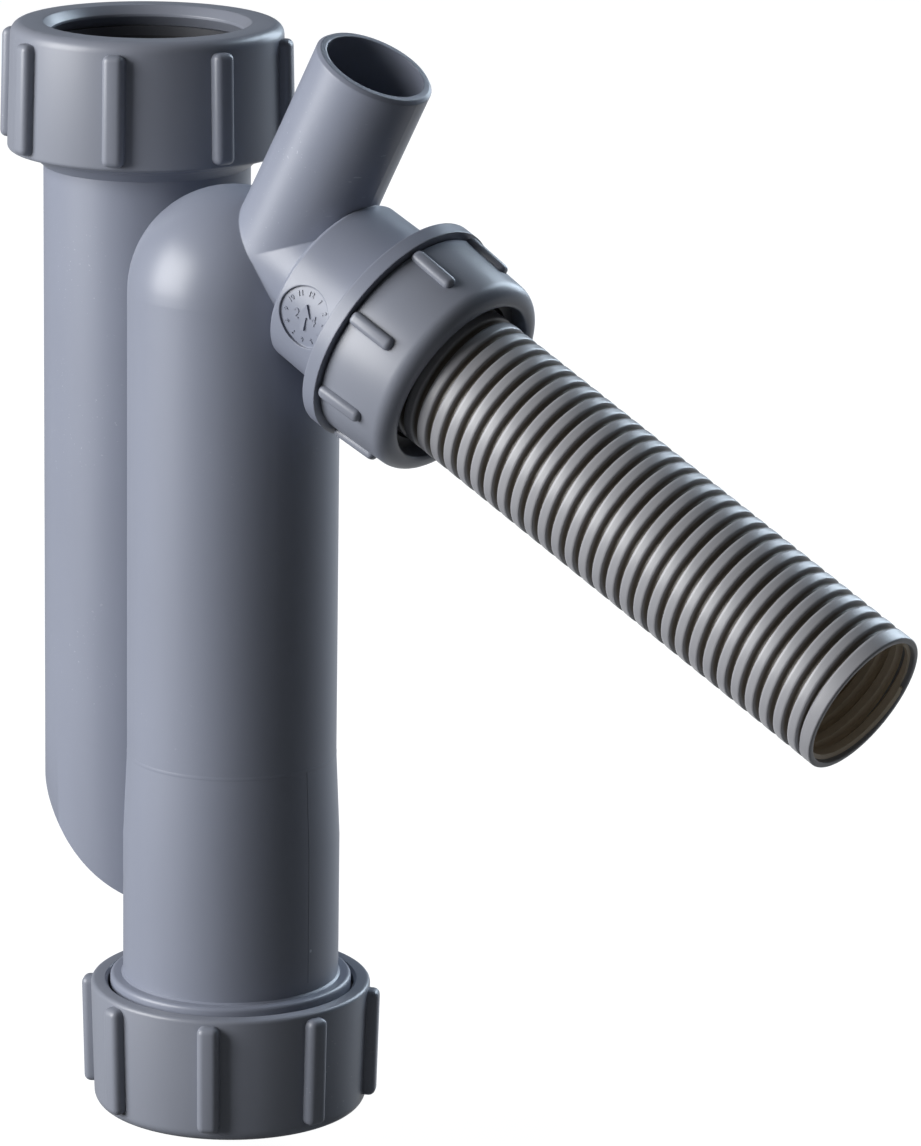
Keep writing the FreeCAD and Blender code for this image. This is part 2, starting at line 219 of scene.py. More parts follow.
def turned(name, points, steps=128, closed=True):
    """Body turned about Z from (radius, height) points: a closed profile, or one that ends on the axis."""
    piece = profile_line(name, points, closed)
    edit_all()
    bpy.ops.mesh.delete(type="ONLY_FACE")
    bpy.ops.mesh.select_all(action="SELECT")
    bpy.ops.mesh.spin(steps=steps, angle=2 * math.pi, center=(0, 0, 0), axis=(0, 0, 1))
    bpy.ops.object.mode_set(mode="OBJECT")
    close_up(piece)
    return piece


def corner(centre, radius, start, end, steps=6):
    """Points along a rounded corner of a profile, with angles in degrees."""
    points = []
    for index in range(steps + 1):
        angle = math.radians(start + (end - start) * index / steps)
        points.append((centre[0] + radius * math.cos(angle), centre[1] + radius * math.sin(angle)))
    return points


def apply_modifier(piece, kind, **settings):
    """Add a modifier with these settings and apply it."""
    active_only(piece)
    bpy.ops.object.modifier_add(type=kind)
    modifier = piece.modifiers[-1]
    for setting, value in settings.items():
        setattr(modifier, setting, value)
    bpy.ops.object.modifier_apply(modifier=modifier.name)


def put(piece, place):
    """Move a piece that was made at the origin to its place, and keep the place in its mesh."""
    active_only(piece)
    piece.matrix_world = place
    bpy.ops.object.transform_apply(location=True, rotation=True, scale=True)


def smooth(piece, angle=35):
    active_only(piece)
    bpy.ops.object.shade_smooth_by_angle(angle=math.radians(angle))


def dress(piece, *materials):
    piece.data.materials.clear()
    for material in materials:
        piece.data.materials.append(material)


def copied(piece, name):
    """Copy of a piece with a mesh of its own."""
    active_only(piece)
    bpy.ops.object.duplicate(linked=False)
    return named(name)


def joined(pieces, name):
    start_new()
    for piece in pieces:
        piece.select_set(True)
    bpy.context.view_layer.objects.active = pieces[0]
    bpy.ops.object.join()
    return named(name)


def combined(piece, other, operation="UNION"):
    """Unite, cut or intersect a closed mesh with a second one, and remove the second."""
    apply_modifier(piece, "BOOLEAN", operation=operation, solver="EXACT", object=other)
    bpy.data.objects.remove(other)


def carry(piece, body):
    """Let a piece ride on its body."""
    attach(piece, body)


def bar(name, width, height, long, sunk, rounding):
    """Bar along Z with rounded edges, which stands on the plane x = 0 and reaches below it."""
    start_new()
    bpy.ops.mesh.primitive_cube_add(size=1, location=(0, 0, 0))
    made = named(name)
    edit_all()
    bpy.ops.transform.resize(value=(height + sunk, width, long))
    bpy.ops.transform.translate(value=((height - sunk) / 2, 0, long / 2))
    bpy.ops.mesh.bevel(offset=rounding, segments=5, affect="EDGES")
    bpy.ops.object.mode_set(mode="OBJECT")
    return made


def ribs_round(rib, count, turn, radius, low, lean):
    """Copies of a rib set evenly round a nut, leaning in with its draft."""
    ribs = []
    for index in range(count):
        copy = copied(rib, "rib_copy")
        angle = math.radians(turn + 360 * index / count)
        put(copy, Matrix.Rotation(angle, 4, "Z") @ Matrix.Translation((radius, 0, low))
            @ Matrix.Rotation(-lean, 4, "Y"))
        ribs.append(copy)
    bpy.data.objects.remove(rib)
    return joined(ribs, "ribs")


def thread(name, root, crest, pitch, low, turns):
    """Screw thread: a trapezoid section from its root to its crest radius, screwed up about Z."""
    corners = ((root, 0.1), (crest, 0.22), (crest, 0.36), (root, 0.48))
    section = [(radius, low + share * pitch) for radius, share in corners]
    ridge = profile_line(name, section)
    steps_per_turn = 96
    steps = int(steps_per_turn * turns)
    apply_modifier(
        ridge, "SCREW", axis="Z", angle=2 * math.pi * turns, screw_offset=pitch * turns, steps=steps,
        render_steps=steps, use_merge_vertices=True, merge_threshold=0.005 * MM)
    edit_all()
    bpy.ops.mesh.fill_holes(sides=len(section))
    bpy.ops.object.mode_set(mode="OBJECT")
    close_up(ridge)
    smooth(ridge, 40)
    return ridge


# Finishes

def node(tree, kind, settings=None, **inputs):
    """Node with its settings and inputs by name, or by number as _0; a socket as an input is linked."""
    made = tree.nodes.new(kind)
    for setting, value in (settings or {}).items():
        setattr(made, setting, value)
    for label, value in inputs.items():
        key = int(label[1:]) if label[1:].isdigit() else label.replace("_", " ")
        if isinstance(value, bpy.types.NodeSocket):
            tree.links.new(value, made.inputs[key])
        else:
            made.inputs[key].default_value = value
    return made


def calc(tree, operation, first, second=0.0, third=0.0):
    """Math node's result."""
    return node(tree, "ShaderNodeMath", {"operation": operation}, _0=first, _1=second, _2=third).outputs[0]


def eased(tree, value, low, high, start=0.0, end=1.0):
    """Value eased from start, where it is low, to end, where it is high."""
    return node(tree, "ShaderNodeMapRange", {"interpolation_type": "SMOOTHSTEP"}, Value=value, From_Min=low,
                From_Max=high, To_Min=start, To_Max=end).outputs["Result"]


def mix(tree, factor, first, second, blend="MIX"):
    """Mix node's colour, of two colours or sockets."""
    return node(tree, "ShaderNodeMix", {"data_type": "RGBA", "blend_type": blend}, _0=factor, _6=first,
                _7=second).outputs[2]


def noise(tree, place, scale, detail):
    return node(tree, "ShaderNodeTexNoise", Vector=place, Scale=scale, Detail=detail).outputs["Fac"]


def stretched(tree, place, scale, rotation=(0, 0, 0)):
    return node(tree, "ShaderNodeMapping", Vector=place, Rotation=rotation, Scale=scale).outputs[0]


def moulded_surface():
    """Group: uneven tone and gloss, fine grain, scuffs and specks of moulded plastic."""
    group = bpy.data.node_groups.new("moulded surface", "ShaderNodeTree")
    sockets = group.interface.new_socket
    sockets("Vector", in_out="INPUT", socket_type="NodeSocketVector")
    for label in ("Gloss", "Grain", "Scuffs", "Specks"):
        sockets(label, in_out="INPUT", socket_type="NodeSocketFloat")
    for label in ("Tone", "Roughness", "Height", "Marks"):
        sockets(label, in_out="OUTPUT", socket_type="NodeSocketFloat")
    taken, given = group.nodes.new("NodeGroupInput"), group.nodes.new("NodeGroupOutput")
    place = taken.outputs["Vector"]
    drawn_out = stretched(group, place, scale=(1, 1, 0.15))
    scratched = stretched(group, place, scale=(1, 14, 14), rotation=(0.5, 0.35, 0.9))
    flow = noise(group, drawn_out, scale=75.0, detail=3.0)
    clouds = noise(group, place, scale=24.0, detail=2.0)
    grain = noise(group, place, scale=2600.0, detail=2.0)
    ripple = noise(group, place, scale=420.0, detail=1.0)
    lines = noise(group, scratched, scale=130.0, detail=1.0)
    scuffs = calc(group, "MULTIPLY", eased(group, lines, low=0.72, high=0.76),
                  eased(group, clouds, low=0.56, high=0.68))
    scuffs = calc(group, "MULTIPLY", scuffs, taken.outputs["Scuffs"])
    dots = node(group, "ShaderNodeTexVoronoi", {"feature": "F1"}, Vector=place, Scale=110.0)
    chosen = node(group, "ShaderNodeSeparateColor", Color=dots.outputs["Color"]).outputs[0]
    specks = calc(group, "MULTIPLY", eased(group, dots.outputs["Distance"], low=0.05, high=0.025),
                  eased(group, chosen, low=0.984, high=0.986))
    specks = calc(group, "MULTIPLY", specks, taken.outputs["Specks"])
    tone_share, scuff_share = 0.1, 0.15
    tone = calc(group, "MULTIPLY_ADD", flow, tone_share, 1 - tone_share)
    tone = calc(group, "MULTIPLY_ADD", clouds, tone_share, tone)
    rough = calc(group, "MULTIPLY_ADD", flow, tone_share, taken.outputs["Gloss"])
    rough = calc(group, "MULTIPLY_ADD", scuffs, scuff_share, rough)
    height = calc(group, "MULTIPLY_ADD", grain, taken.outputs["Grain"], ripple)
    height = calc(group, "SUBTRACT", height, scuffs)
    results = {"Tone": tone, "Roughness": rough, "Height": height,
               "Marks": calc(group, "MAXIMUM", calc(group, "MULTIPLY", scuffs, 0.5), specks)}
    for label, socket in results.items():
        group.links.new(socket, given.inputs[label])
    return group


def shaded(name):
    """New material with its node tree and its shader."""
    material = bpy.data.materials.new(name)
    material.use_nodes = True
    return material, material.node_tree, material.node_tree.nodes["Principled BSDF"]


def object_place(tree):
    return tree.nodes.new("ShaderNodeTexCoord").outputs["Object"]


def plastic(name, tint, surface, gloss=0.32, grain=1.0, scuffs=1.0, specks=1.0, bump=0.05, soft_edge=0.0):
    """Satin moulded plastic, with softened edges where the solid's are sharp."""
    material, tree, shader = shaded(name)
    look = node(tree, "ShaderNodeGroup", {"node_tree": surface}, Vector=object_place(tree), Gloss=gloss,
                Grain=grain, Scuffs=scuffs, Specks=specks)
    toned = mix(tree, 1.0, (*tint, 1), look.outputs["Tone"], "MULTIPLY")
    lift, gain = 0.1, 1.5
    pale = (*(min(1.0, lift + gain * part) for part in tint), 1)
    tree.links.new(mix(tree, look.outputs["Marks"], toned, pale), shader.inputs["Base Color"])
    tree.links.new(look.outputs["Roughness"], shader.inputs["Roughness"])
    grained = node(tree, "ShaderNodeBump", Strength=bump, Distance=0.1 * MM, Height=look.outputs["Height"])
    if soft_edge:
        rounded = node(tree, "ShaderNodeBevel", {"samples": 6}, Radius=soft_edge)
        tree.links.new(rounded.outputs[0], grained.inputs["Normal"])
    tree.links.new(grained.outputs[0], shader.inputs["Normal"])
    shader.inputs["IOR"].default_value = 1.49
    return material


def hose_plastic(tint, groove, surface, sizes):
    """Hose plastic: satin ridges, and grooves with painted shade that deepens towards their bottom, in a browner
    tone.
    """
    material = plastic("hose plastic with painted groove shade", tint, surface, **HOSE_FINISH)
    tree = material.node_tree
    base = tree.nodes["Principled BSDF"].inputs["Base Color"]
    to_axis = branch_place().inverted()
    local = node(tree, "ShaderNodeMapping", Vector=object_place(tree), Location=to_axis.to_translation(),
                 Rotation=to_axis.to_euler()).outputs[0]
    parts = node(tree, "ShaderNodeSeparateXYZ", Vector=local)
    square = calc(tree, "MULTIPLY", parts.outputs[1], parts.outputs[1])
    radius = calc(tree, "SQRT", calc(tree, "MULTIPLY_ADD", parts.outputs[0], parts.outputs[0], square))
    pale_above = sizes.hose_radius - 0.15 * sizes.hose_groove
    dark_below = sizes.hose_radius - 0.8 * sizes.hose_groove
    # Painted shade: the colour darkens towards the grooves' bottoms.
    painted_groove_shade = eased(tree, radius, low=pale_above, high=dark_below)
    tree.links.new(mix(tree, painted_groove_shade, base.links[0].from_socket, (*groove, 1)), base)
    return material


def finishes():
    """Materials of the trap by name, made on the first call."""
    if "body plastic" not in bpy.data.materials:
        colours = bpy.context.scene.trap_colours
        surface = moulded_surface()
        plastic("body plastic", colours.body, surface)
        plastic("branch plastic", colours.body, surface, soft_edge=0.45 * MM)
        plastic("nut plastic", colours.nut, surface, gloss=0.33, grain=1.3, scuffs=1.4, specks=0.5)
        # Slip rings: own dark colour and painted shade for the inside of the nuts' holes.
        plastic("dark ring plastic with painted shade", colours.ring, surface, gloss=0.4, grain=1.3, scuffs=0.5)
        hose_plastic(colours.hose, colours.hose_groove, surface, bpy.context.scene.trap_sizes)
        plastic("hose rim", colours.hose, surface, **HOSE_FINISH)
        # Painted light: the hose's inside is paler than its own tan, for light that comes through the thin wall.
        plastic("hose inside", colours.hose_inside, surface, gloss=0.4, grain=1.4, scuffs=0.0)
        plastic("seal rubber", colours.rubber, surface, gloss=0.55, grain=2.0, scuffs=0.3, bump=0.15)
    return bpy.data.materials


# Pieces

class TRAP_OT_mouldings(bpy.types.Operator):
    """Give the solids that stay in view their moulded finishes"""

    bl_idname = "trap.mouldings"
    bl_label = "Finish the mouldings and seals"

    def execute(self, context):
        looks = finishes()
        by_slot = {"body": looks["body plastic"], "nut": looks["nut plastic"], "seal": looks["seal rubber"],
                   "hose": looks["hose plastic with painted groove shade"]}
        for part in frame["record"]["subparts"]:
            dress(frame["nodes"][part["node"]], by_slot[part["material_slot"]])
        dress(frame["nodes"]["front_limb"], looks["branch plastic"])
        for ring in ("inlet_slip_ring", "hose_slip_ring"):
            dress(frame["nodes"][ring], looks["dark ring plastic with painted shade"])
        return {"FINISHED"}


class TRAP_OT_foot(bpy.types.Operator):
    """Model the foot: the flared end of the front limb, and the rear limb's stub with its rounded floor"""

    bl_idname = "trap.foot"
    bl_label = "Add the foot"

    def execute(self, context):
        neck_wide, neck_high, wall = 11.5 * MM, 17.8 * MM, 2.0 * MM
        foot = turned("trap_foot_shell", self.flared_end())
        combined(foot, self.stub("stub", LIMB_R))
        combined(foot, self.neck("neck", neck_wide, neck_high, near=19.6 * MM, far=28.0 * MM))
        combined(foot, self.stub("hollow", BORE_R, rise=2.0 * MM), "DIFFERENCE")
        channel = self.neck("channel", neck_wide - wall, neck_high - wall, near=17.0 * MM, far=29.0 * MM)
        combined(foot, channel, "DIFFERENCE")
        close_up(foot)
        smooth(foot, 32)
        dress(foot, finishes()["body plastic"])
        carry(foot, "trap")
        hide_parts("trap_foot")
        return {"FINISHED"}

    def flared_end(self):
        """Profile of the front limb's lower end, with a rounded collar over the thread's core."""
        collar, core, mouth, chamfer = 25.5 * MM, 24.0 * MM, 9.5 * MM, 2.4 * MM
        top, under = CLEANOUT_HIGH.z + 1.4 * MM, CLEANOUT_HIGH.z - 2.0 * MM
        fillet, rounding = 0.4 * MM, 0.9 * MM
        points = [(BORE_R, SEAM_Z), (LIMB_R, SEAM_Z), (FLARE_R, SEAM_Z - FLARE_DROP), (FLARE_R, top + fillet),
                  (FLARE_R + fillet, top)]
        points += corner((collar - rounding, top - rounding), rounding, 90, 0)
        points += [(collar, under), (core, under), (core, mouth), (BORE_R + chamfer, mouth),
                   (BORE_R, mouth + chamfer)]
        return points

    def cylinder(self, name, radius, depth, place, turn=0.0):
        """Closed cylinder about Z, or turned about X, with its place in its mesh."""
        start_new()
        bpy.ops.mesh.primitive_cylinder_add(vertices=128, radius=radius, depth=depth, location=place,
                                            rotation=(turn, 0, 0))
        made = named(name)
        bpy.ops.object.transform_apply(location=True, rotation=True, scale=True)
        return made

    def stub(self, name, radius, rise=0.0):
        """Upright end of the rear limb, with a floor that a bend about the X direction rounds off."""
        spare, trim, drop = 2.5 * MM, 0.4 * MM, 50.0 * MM
        wide = radius + spare
        centre = BEND_R + radius - trim - wide
        share = 180 - math.degrees(math.acos(centre / wide))
        section = corner((centre, 0), wide, -share, share, steps=64)
        bend = turned("bend", section, steps=150, closed=False)
        bend_centre = Matrix.Translation((0, INLET_AXIS.y - BEND_R, BEND_Z))
        put(bend, bend_centre @ Matrix.Rotation(math.pi / 2, 4, "Y"))
        upright = self.cylinder(name, radius, drop + rise, (0, INLET_AXIS.y, BEND_Z + (rise - drop) / 2))
        combined(upright, bend, "INTERSECT")
        return upright

    def neck(self, name, wide, high, near, far):
        """Level oval tube across the gap between the limbs."""
        oval = self.cylinder(name, high, far - near, (0, (near + far) / 2, NECK_Z), math.pi / 2)
        edit_all()
        bpy.ops.transform.resize(value=(wide / high, 1, 1))
        bpy.ops.object.mode_set(mode="OBJECT")
        return oval


class TRAP_OT_large_nuts(bpy.types.Operator):
    """Model the inlet nut and the cleanout nut, with their inside threads"""

    bl_idname = "trap.large_nuts"
    bl_label = "Add the large nuts"

    def execute(self, context):
        sizes = context.scene.trap_sizes
        look = finishes()["nut plastic"]
        pitch, root, crest = sizes.thread_pitch, sizes.nut_bore + 0.3 * MM, sizes.nut_bore - 1.0 * MM
        for body, place, turn in (("inlet_nut", INLET_PLACE, 8.6), ("cleanout_nut", CLEANOUT_PLACE, -12.5)):
            nut = self.nut(sizes, body + "_shell", turn)
            inside = thread(body + "_thread", root, crest, pitch, low=0.5 * pitch, turns=3.2)
            for piece in (nut, inside):
                put(piece, place)
                dress(piece, look)
                carry(piece, body)
            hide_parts(body)
        return {"FINISHED"}

    def nut(self, sizes, name, turn):
        """Compression nut with its open end at z = 0, rounded edges and rounded grip ribs."""
        high, edge, lip = sizes.nut_height, sizes.nut_edge, sizes.nut_lip
        top, plate = sizes.nut_radius - sizes.nut_draft, high - sizes.nut_plate
        bore, hole, low = sizes.nut_bore, sizes.nut_hole, 1.1 * MM
        rim, chamfer, land, undercut = 0.9 * MM, 0.6 * MM, 0.7 * MM, 1.6 * MM
        blunt, fine = 0.5 * MM, 0.3 * MM
        points = [(bore + chamfer, 0.0)]
        points += corner((sizes.nut_radius - rim, rim), rim, -90, 0, 4)
        points += corner((top - edge, high - edge), edge, 0, 90, 8)
        points += corner((hole + lip + blunt - fine, high - blunt), blunt, 90, 135, 3)
        points += corner((hole + fine, high - lip - fine), fine, 135, 180, 3)
        points += [(hole, high - lip - land), (hole + undercut, plate), (bore, plate), (bore, chamfer)]
        nut = turned(name, points)
        long = high - edge - low
        rib = bar("rib", sizes.rib_width, sizes.rib_height, long, sunk=1.6 * MM, rounding=1.45 * MM)
        lean = math.atan(sizes.nut_draft / high)
        combined(nut, ribs_round(rib, sizes.rib_count, turn, sizes.nut_radius, low, lean))
        smooth(nut, 32)
        return nut


class TRAP_OT_hose_nut(bpy.types.Operator):
    """Model the hose nut with its well rounded front edge, ribs and inside thread"""

    bl_idname = "trap.hose_nut"
    bl_label = "Add the hose nut"

    def execute(self, context):
        sizes = context.scene.trap_sizes
        pitch, bore = sizes.thread_pitch, sizes.hose_nut_bore
        root, crest = bore + 0.2 * MM, bore - 0.7 * MM
        nut = self.nut(sizes)
        inside = thread("hose_nut_thread", root, crest, pitch, low=0.6 * pitch, turns=1.2)
        for piece in (nut, inside):
            put(piece, HOSE_NUT_PLACE)
            dress(piece, finishes()["nut plastic"])
            carry(piece, "hose_nut")
        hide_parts("hose_nut")
        return {"FINISHED"}

    def nut(self, sizes):
        long, hole, bore = sizes.hose_nut_length, sizes.hose_nut_hole, sizes.hose_nut_bore
        rim, plate = 0.5 * MM, long - sizes.hose_nut_plate
        front = sizes.hose_nut_radius - sizes.hose_nut_draft - hole
        inner, low = 0.8 * MM, -0.4 * MM
        points = [(bore + rim, low)]
        points += corner((sizes.hose_nut_radius - rim, low + rim), rim, -90, 0, 3)
        points += corner((hole + inner, long - front + inner), front - inner, 0, 90, 10)
        points += corner((hole + inner, long - inner), inner, 90, 180, 4)
        points += [(hole, plate), (bore, plate), (bore, rim)]
        nut = turned("hose_nut_shell", points)
        rib = bar("rib", sizes.hose_rib_width, sizes.hose_rib_height, sizes.hose_rib_length, sunk=1.2 * MM,
                  rounding=1.15 * MM)
        turn, rib_low = 22.5, -0.3 * MM
        lean = math.atan(sizes.hose_nut_draft / (long - front))
        combined(nut, ribs_round(rib, sizes.rib_count, turn, sizes.hose_nut_radius, rib_low, lean))
        smooth(nut, 32)
        return nut


class TRAP_OT_hose(bpy.types.Operator):
    """Model the spiral hose with its thin wall, cut square at both ends"""

    bl_idname = "trap.hose"
    bl_label = "Add the hose"

    def execute(self, context):
        sizes = context.scene.trap_sizes
        looks = finishes()
        pitch, steps, lead_turns, spare_turns = sizes.hose_pitch, 72, 2.5, 4
        phase, in_band = 1.9 * MM, 1.0 * MM
        ridge_at = HOSE_START - lead_turns * pitch + phase
        hose = profile_line("drain_hose_spiral", self.ridge(sizes, ridge_at), closed=False)
        turns = int((HOSE_END - HOSE_START) / pitch) + spare_turns
        apply_modifier(
            hose, "SCREW", axis="Z", angle=2 * math.pi, screw_offset=pitch, iterations=turns, steps=steps,
            render_steps=steps, use_merge_vertices=True, merge_threshold=0.005 * MM)
        close_up(hose)
        bpy.ops.object.mode_set(mode="EDIT")
        for height, upper in ((HOSE_START, False), (HOSE_END - in_band, True)):
            bpy.ops.mesh.select_all(action="SELECT")
            bpy.ops.mesh.bisect(plane_co=(0, 0, height), plane_no=(0, 0, 1), clear_outer=upper,
                                clear_inner=not upper)
        bpy.ops.object.mode_set(mode="OBJECT")
        dress(hose, looks["hose plastic with painted groove shade"], looks["hose inside"])
        apply_modifier(hose, "SOLIDIFY", thickness=sizes.hose_wall, offset=-1.0, material_offset=1,
                       material_offset_rim=1, use_even_offset=True)
        smooth(hose, 50)
        hose = joined([hose, self.end_band(sizes, looks)], "drain_hose_spiral")
        put(hose, branch_place())
        carry(hose, "trap")
        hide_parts("drain_hose")
        return {"FINISHED"}

    def end_band(self, sizes, looks):
        """Plain band at the hose's open end, with a rounded lip, where the groove runs out."""
        outer, inner = sizes.hose_radius, sizes.hose_radius - 1.3 * MM
        groove, shoulder = (outer - 0.9 * MM, HOSE_END - 3.3 * MM), (outer, HOSE_END - 2.6 * MM)
        lip_end, step = (inner, HOSE_END - 1.4 * MM), (inner + 0.55 * MM, HOSE_END - 1.9 * MM)
        blunt, fine = 0.45 * MM, 0.3 * MM
        points = [groove, shoulder]
        points += corner((outer - blunt, HOSE_END - blunt), blunt, 0, 90, 5)
        points += corner((inner + fine, HOSE_END - fine), fine, 90, 180, 4)
        points += [lip_end, step]
        band = turned("hose_end", points, steps=144)
        smooth(band, 40)
        dress(band, looks["hose rim"])
        return band

    def ridge(self, sizes, low):
        """One pitch of the wall: from the middle of a ridge's flat top, through the groove, to the next."""
        shares = (0.0, 0.15, 0.27, 0.3, 0.325, 0.35, 0.375, 0.41)
        flank_from, flank_share, crown = 0.27, 0.14, 0.3 * MM
        shares += tuple(1 - share for share in reversed(shares))
        points = []
        for share in shares:
            off = min(share, 1 - share)
            flank = max(0.0, (off - flank_from) / flank_share)
            depth = sizes.hose_groove * (1 - math.cos(math.pi * flank)) / 2 + crown * off ** 2
            points.append((sizes.hose_radius - depth, low + share * sizes.hose_pitch))
        return points


class TRAP_OT_threads(bpy.types.Operator):
    """Model the outside threads on both limbs' mouths and on the hose socket"""

    bl_idname = "trap.threads"
    bl_label = "Add the outside threads"

    def execute(self, context):
        pitch = context.scene.trap_sizes.thread_pitch
        for name, root, crest, low, turns, place in (
                ("rear_limb_thread", 23.8, 25.4, 1.0, 2.6, INLET_PLACE),
                ("trap_foot_thread", 23.8, 25.4, 1.0, 2.6, CLEANOUT_PLACE),
                ("socket_thread", 18.8, 19.8, 0.1, 1.2, HOSE_NUT_PLACE)):
            outside = thread(name, root * MM, crest * MM, pitch, low * pitch, turns)
            put(outside, place)
            dress(outside, finishes()["body plastic"])
            carry(outside, "trap")
        return {"FINISHED"}


class TRAP_OT_date_dial(bpy.types.Operator):
    """Model the moulding date dial in its recess on the hose socket: a ring of months, a year and an arrow"""

    bl_idname = "trap.date_dial"
    bl_label = "Add the date dial"

    def execute(self, context):
        turn = math.radians(11.5)
        month_size, month_ring = 1.5 * MM, 4.9 * MM
        year_size, year_off = 3.0 * MM, 2.2 * MM
        marks = [self.arrow()]
        self.lay(marks[0], 0, 0, turn)
        for month in range(1, 13):
            angle = turn - 2 * math.pi * month / 12
            numeral = self.numeral(str(month), month_size)
            self.lay(numeral, -month_ring * math.sin(angle), month_ring * math.cos(angle), angle)
            marks.append(numeral)
        for digit, off in (("2", -year_off), ("4", year_off)):
            numeral = self.numeral(digit, year_size)
            self.lay(numeral, off * math.cos(turn), off * math.sin(turn), turn)
            marks.append(numeral)
        dial = joined(marks, "date_dial")
        dress(dial, finishes()["body plastic"])
        carry(dial, "trap")
        return {"FINISHED"}

    def lay(self, mark, right, up, spin):
        """Lay a flat mark on the recess's floor; right runs along the branch and up round the socket."""
        plane = Matrix(((0, 0, 1), (0, -1, 0), (1, 0, 0))).to_4x4()
        round_socket = Matrix.Rotation(DIAL_TURN - up / DIAL_FLOOR_R, 4, "Z")
        put(mark, branch_place(DIAL_AT + right) @ round_socket @ Matrix.Translation((DIAL_FLOOR_R, 0, 0))
            @ plane @ Matrix.Rotation(spin, 4, "Z"))

    def numeral(self, text, size):
        start_new()
        bpy.ops.object.text_add(location=(0, 0, 0))
        figure = named("numeral")
        figure.data.body = text
        figure.data.size = size
        figure.data.align_x, figure.data.align_y = "CENTER", "CENTER"
        figure.data.extrude = 0.16 * MM
        figure.data.resolution_u = 3
        figure.data.offset = 0.03 * MM
        bpy.ops.object.convert(target="MESH")
        return named("numeral")

    def arrow(self):
        """Arrow that points up: a bar united with a three-sided head."""
        wide, long, thick = 0.95 * MM, 3.4 * MM, 0.6 * MM
        bar_up, head_up = -1.0 * MM, 1.1 * MM
        start_new()
        bpy.ops.mesh.primitive_cube_add(size=1, location=(0, 0, 0))
        shape = named("arrow")
        edit_all()
        bpy.ops.transform.resize(value=(wide, long, thick))
        bpy.ops.transform.translate(value=(0, bar_up, 0))
        bpy.ops.object.mode_set(mode="OBJECT")
        bpy.ops.mesh.primitive_cylinder_add(vertices=3, radius=1.7 * MM, depth=thick,
                                            location=(0, head_up, 0))
        head = named("arrow_head")
        bpy.ops.object.transform_apply(location=True, rotation=True, scale=True)
        combined(shape, head)
        apply_modifier(shape, "BEVEL", width=0.12 * MM, segments=2, limit_method="ANGLE")
        return shape


class TRAP_OT_mould_lines(bpy.types.Operator):
    """Model the weld bead round the front limb and the parting line below it"""

    bl_idname = "trap.mould_lines"
    bl_label = "Add the mould lines"

    def execute(self, context):
        for piece in (self.weld_bead(), self.parting_line()):
            dress(piece, finishes()["body plastic"])
            carry(piece, "trap")
        return {"FINISHED"}

    def weld_bead(self):
        half, proud, edge = 0.45 * MM, 0.05 * MM, 0.005 * MM
        inner, outer, crest = LIMB_R - half, LIMB_R + edge, LIMB_R + proud
        weld = turned("weld_bead", [
            (inner, SEAM_Z - half), (outer, SEAM_Z - half), (crest, SEAM_Z - half / 3),
            (crest, SEAM_Z + half / 3), (outer, SEAM_Z + half), (inner, SEAM_Z + half)])
        smooth(weld, 60)
        return weld

    def parting_line(self):
        """Fine line down the front limb: upright on the flare, and leaning in above it."""
        section = {"width": 0.45 * MM, "height": 0.05 * MM, "sunk": 0.4 * MM, "rounding": 0.04 * MM}
        flare_top, low, turn = SEAM_Z - FLARE_DROP, 31.0 * MM, math.radians(-68)
        lean = math.atan((FLARE_R - LIMB_R) / FLARE_DROP)
        lower = bar("lower_line", long=flare_top - low, **section)
        put(lower, Matrix.Translation((FLARE_R, 0, low)))
        upper = bar("upper_line", long=FLARE_DROP, **section)
        put(upper, Matrix.Translation((FLARE_R, 0, flare_top)) @ Matrix.Rotation(-lean, 4, "Y"))
        line = joined([lower, upper], "parting_line")
        put(line, Matrix.Rotation(turn, 4, "Z"))
        return line


